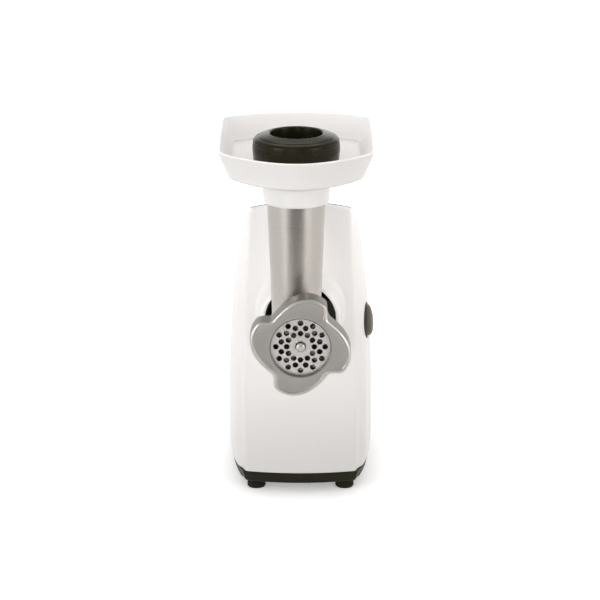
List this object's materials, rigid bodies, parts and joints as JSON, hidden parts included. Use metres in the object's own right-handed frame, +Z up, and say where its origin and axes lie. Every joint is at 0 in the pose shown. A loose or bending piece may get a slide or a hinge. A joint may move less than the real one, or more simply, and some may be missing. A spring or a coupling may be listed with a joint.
{
  "type": "electric meat grinder",
  "caption": "Upright electric meat grinder with a metal grinding head, lobed ring nut, feed tray, hollow pusher, side rocker switch and geared motor inside.",
  "frame": {"origin": "under the middle of the whole machine, on the floor plane", "axes": "+Z up, the discharge plate faces -Y, +X is on the side of the power switch"},
  "size_m": [0.1288, 0.332, 0.3315],
  "materials": {
    "white_plastic": "satin",
    "black_plastic": "fine texture",
    "black_socket": "matte",
    "foot_rubber": "matte",
    "cast_aluminium": "brushed",
    "nut_metal": "satin cast",
    "plate_steel": "ground",
    "knife_steel": "ground",
    "auger_metal": "cast",
    "tray_plastic": "satin",
    "pusher_plastic": "satin",
    "rocker_plastic": "satin",
    "gearcase_metal": "die-cast",
    "gear_nylon": "moulded",
    "gear_steel": "sintered",
    "shaft_steel": "ground",
    "bush_bronze": "sintered",
    "lamination_steel": "laminated",
    "coil_copper": "enamelled wire",
    "commutator_copper": "turned",
    "brush_carbon": "matte",
    "holder_brass": "stamped",
    "screw_zinc": "zinc plated"
  },
  "bodies": {
    "chassis": {"front_panel": "white_plastic", "rear_housing": "white_plastic", "base_tray": "black_plastic", "switch_housing": "black_plastic", "cord_inlet": "black_plastic", "head_socket": "black_socket", "foot_front_left": "foot_rubber", "foot_front_right": "foot_rubber", "foot_rear_left": "foot_rubber", "foot_rear_right": "foot_rubber", "gearbox_housing": "gearcase_metal", "gearbox_cover": "gearcase_metal", "rear_motor_bracket": "gearcase_metal", "motor_bearing_front": "shaft_steel", "motor_bearing_rear": "shaft_steel", "output_bush_front": "bush_bronze", "output_bush_rear": "bush_bronze", "idler_bush_front": "bush_bronze", "idler_bush_rear": "bush_bronze", "stator_core": "lamination_steel", "field_coil_upper": "coil_copper", "field_coil_lower": "coil_copper", "carbon_brush_left": "brush_carbon", "carbon_brush_right": "brush_carbon", "brush_holder_left": "holder_brass", "brush_holder_right": "holder_brass", "base_screw_1": "screw_zinc", "base_screw_2": "screw_zinc", "base_screw_3": "screw_zinc", "base_screw_4": "screw_zinc", "motor_bolt_1": "screw_zinc", "motor_bolt_2": "screw_zinc"},
    "armature": {"motor_shaft": "shaft_steel", "armature_core": "lamination_steel", "commutator": "commutator_copper", "cooling_fan": "black_socket", "motor_pinion": "gear_steel"},
    "idler": {"idler_shaft": "shaft_steel", "idler_gear": "gear_nylon", "idler_pinion": "gear_steel"},
    "output": {"output_shaft": "shaft_steel", "output_gear": "gear_nylon", "auger": "auger_metal", "knife": "knife_steel"},
    "head": {"grinder_head": "cast_aluminium"},
    "plate": {"grinding_plate": "plate_steel"},
    "nut": {"ring_nut": "nut_metal"},
    "tray": {"feed_tray": "tray_plastic"},
    "pusher": {"pusher": "pusher_plastic"},
    "rocker": {"power_rocker": "rocker_plastic"}
  },
  "joints": [
    {"name": "armature_spin", "type": "hinge", "parent": "chassis", "child": "armature", "pos_m": [0.00173, 0.095, 0.084], "axis": [0, 1, 0], "continuous": true},
    {"name": "idler_spin", "type": "hinge", "parent": "chassis", "child": "idler", "pos_m": [0.00173, 0.024, 0.12], "axis": [0, 1, 0], "continuous": true},
    {"name": "output_spin", "type": "hinge", "parent": "chassis", "child": "output", "pos_m": [0.00173, 0, 0.165], "axis": [0, 1, 0], "continuous": true},
    {"name": "head_lock_turn", "type": "hinge", "parent": "chassis", "child": "head", "pos_m": [0.00173, -0.06, 0.165], "axis": [0, 1, 0], "range_deg": [0, 45]},
    {"name": "plate_slide", "type": "slide", "parent": "head", "child": "plate", "axis": [0, -1, 0], "range_m": [0, 0.009]},
    {"name": "ring_nut_turn", "type": "hinge", "parent": "plate", "child": "nut", "pos_m": [0.00173, -0.115, 0.165], "axis": [0, -1, 0], "range_deg": [0, 1080]},
    {"name": "tray_lift", "type": "slide", "parent": "head", "child": "tray", "axis": [0, 0, 1], "range_m": [0, 0.12]},
    {"name": "pusher_lift", "type": "slide", "parent": "tray", "child": "pusher", "axis": [0, 0, 1], "range_m": [0, 0.13]},
    {"name": "power_rocker_tilt", "type": "hinge", "parent": "chassis", "child": "rocker", "pos_m": [0.05379, 0.022, 0.1433], "axis": [0, 1, 0], "range_deg": [0, 14]}
  ],
  "couplings": [
    {"joint": "idler_spin", "follows": "armature_spin", "ratio": -0.2},
    {"joint": "output_spin", "follows": "armature_spin", "ratio": 0.05},
    {"joint": "plate_slide", "follows": "ring_nut_turn", "m_per_rad": 0.00047746}
  ]
}
